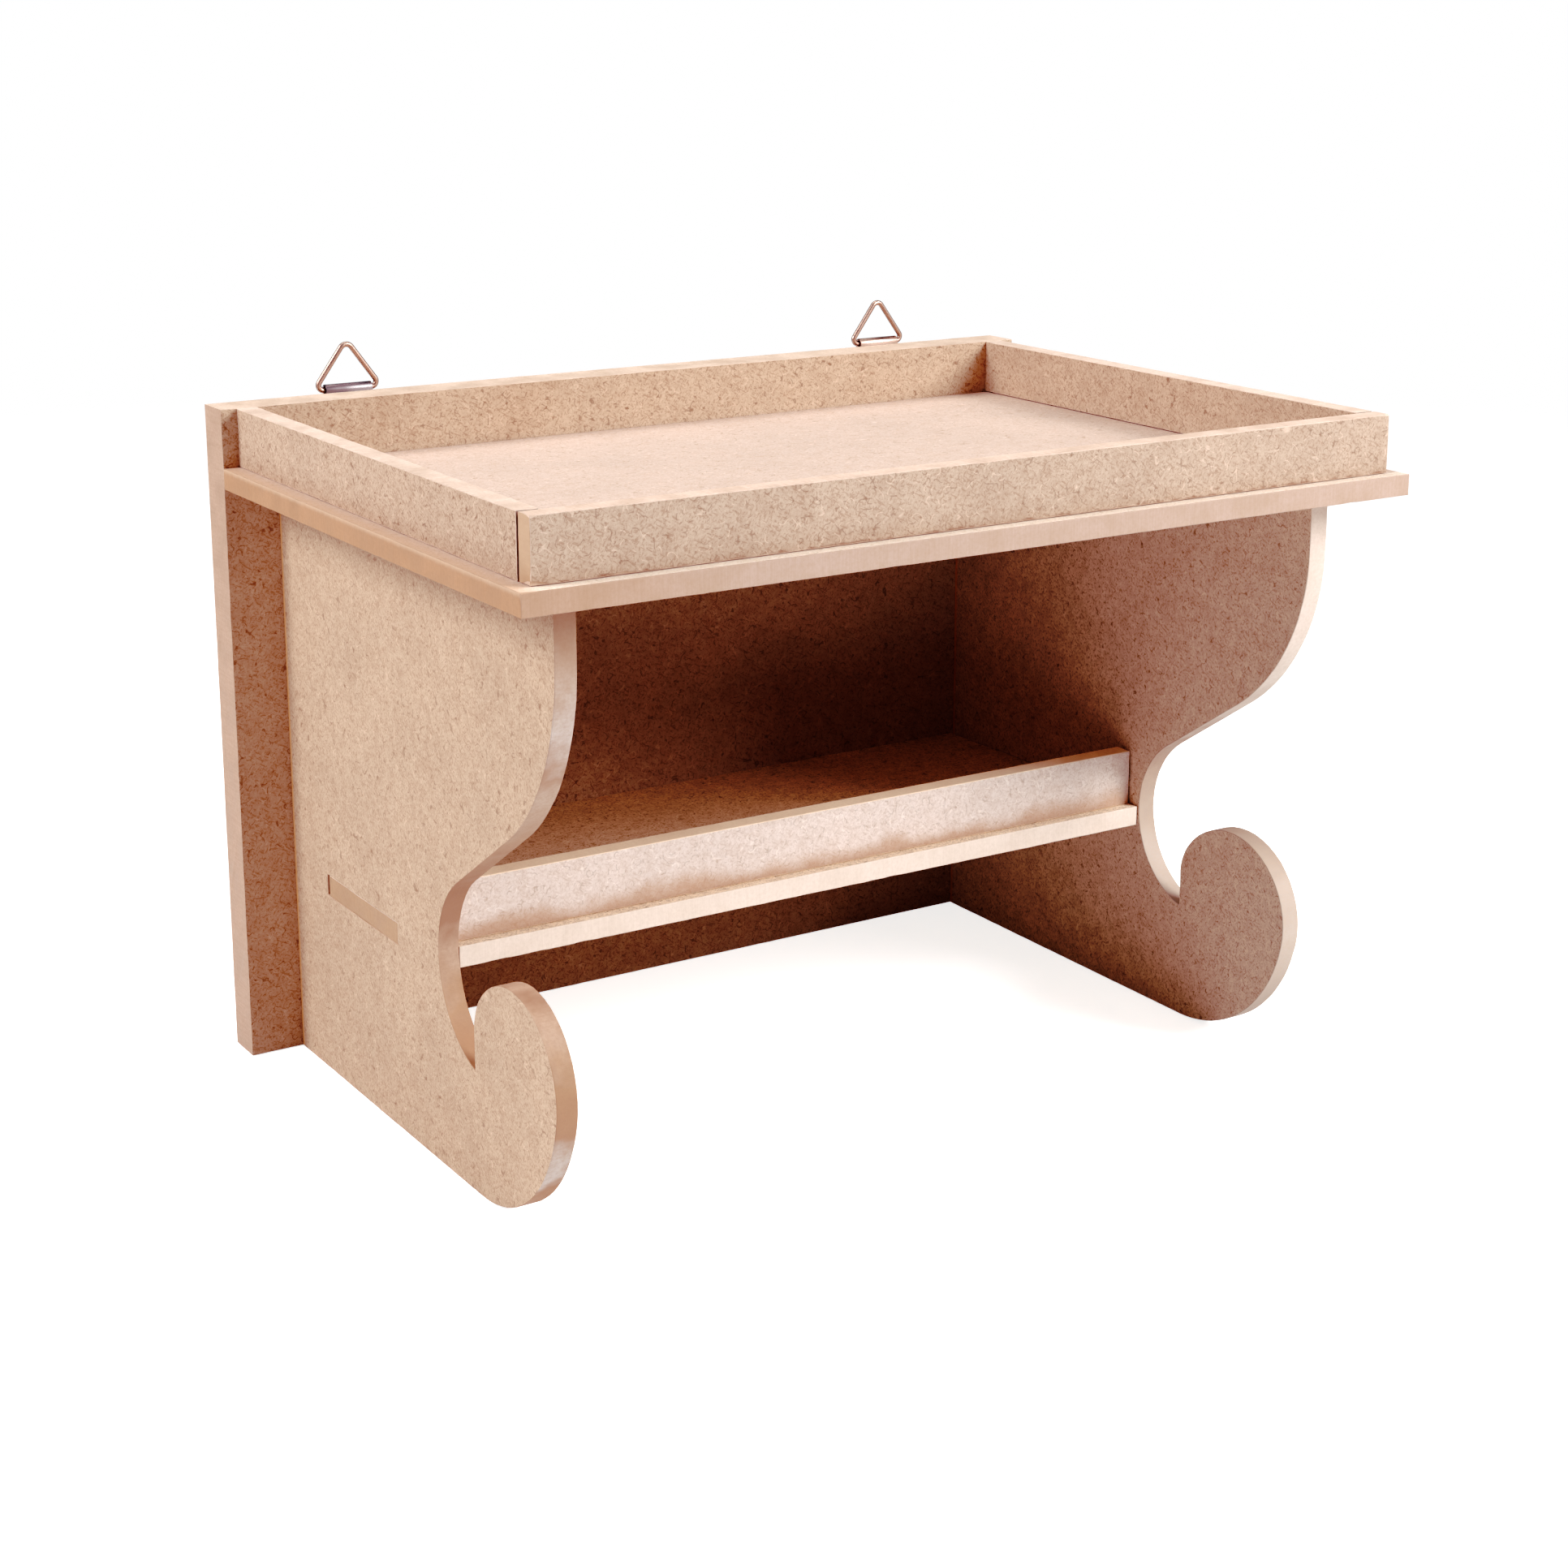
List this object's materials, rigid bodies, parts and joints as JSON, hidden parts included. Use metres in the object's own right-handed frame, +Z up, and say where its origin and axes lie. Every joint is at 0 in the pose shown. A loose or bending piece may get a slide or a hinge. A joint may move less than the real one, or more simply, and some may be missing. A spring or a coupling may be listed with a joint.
{
  "type": "two-tier wall shelf with scroll brackets",
  "caption": "Raw MDF shelf for a wall or bench: railed tray on top, lipped shelf below, scroll brackets, back panel and swinging triangle hanging rings.",
  "frame": {"origin": "middle of the object's footprint, on the plane that its feet stand on", "axes": "+X to the shelf's right seen from the front, +Y back towards the wall, +Z up"},
  "size_m": [0.232, 0.1682, 0.1746],
  "materials": {
    "mdf": "raw sanded face, sawn pale edges",
    "hanger_steel": "bright copper-tinted plate",
    "screw_steel": "bright zinc plate"
  },
  "bodies": {
    "shelf": {"back_panel": "mdf", "left_bracket": "mdf", "right_bracket": "mdf", "top_shelf": "mdf", "tray_left_rail": "mdf", "tray_right_rail": "mdf", "tray_front_rail": "mdf", "lower_shelf": "mdf", "lower_lip": "mdf", "left_hanger_strap": "hanger_steel", "right_hanger_strap": "hanger_steel", "left_hanger_screw": "screw_steel", "right_hanger_screw": "screw_steel"},
    "left_ring": {"left_hanger_ring": "hanger_steel"},
    "right_ring": {"right_hanger_ring": "hanger_steel"}
  },
  "joints": [
    {"name": "left_ring_swing", "type": "hinge", "parent": "shelf", "child": "left_ring", "pos_m": [-0.0786, 0.08265, 0.163], "axis": [1, 0, 0], "range_deg": [-165, 70]},
    {"name": "right_ring_swing", "type": "hinge", "parent": "shelf", "child": "right_ring", "pos_m": [0.0786, 0.08265, 0.163], "axis": [1, 0, 0], "range_deg": [-165, 70]}
  ]
}
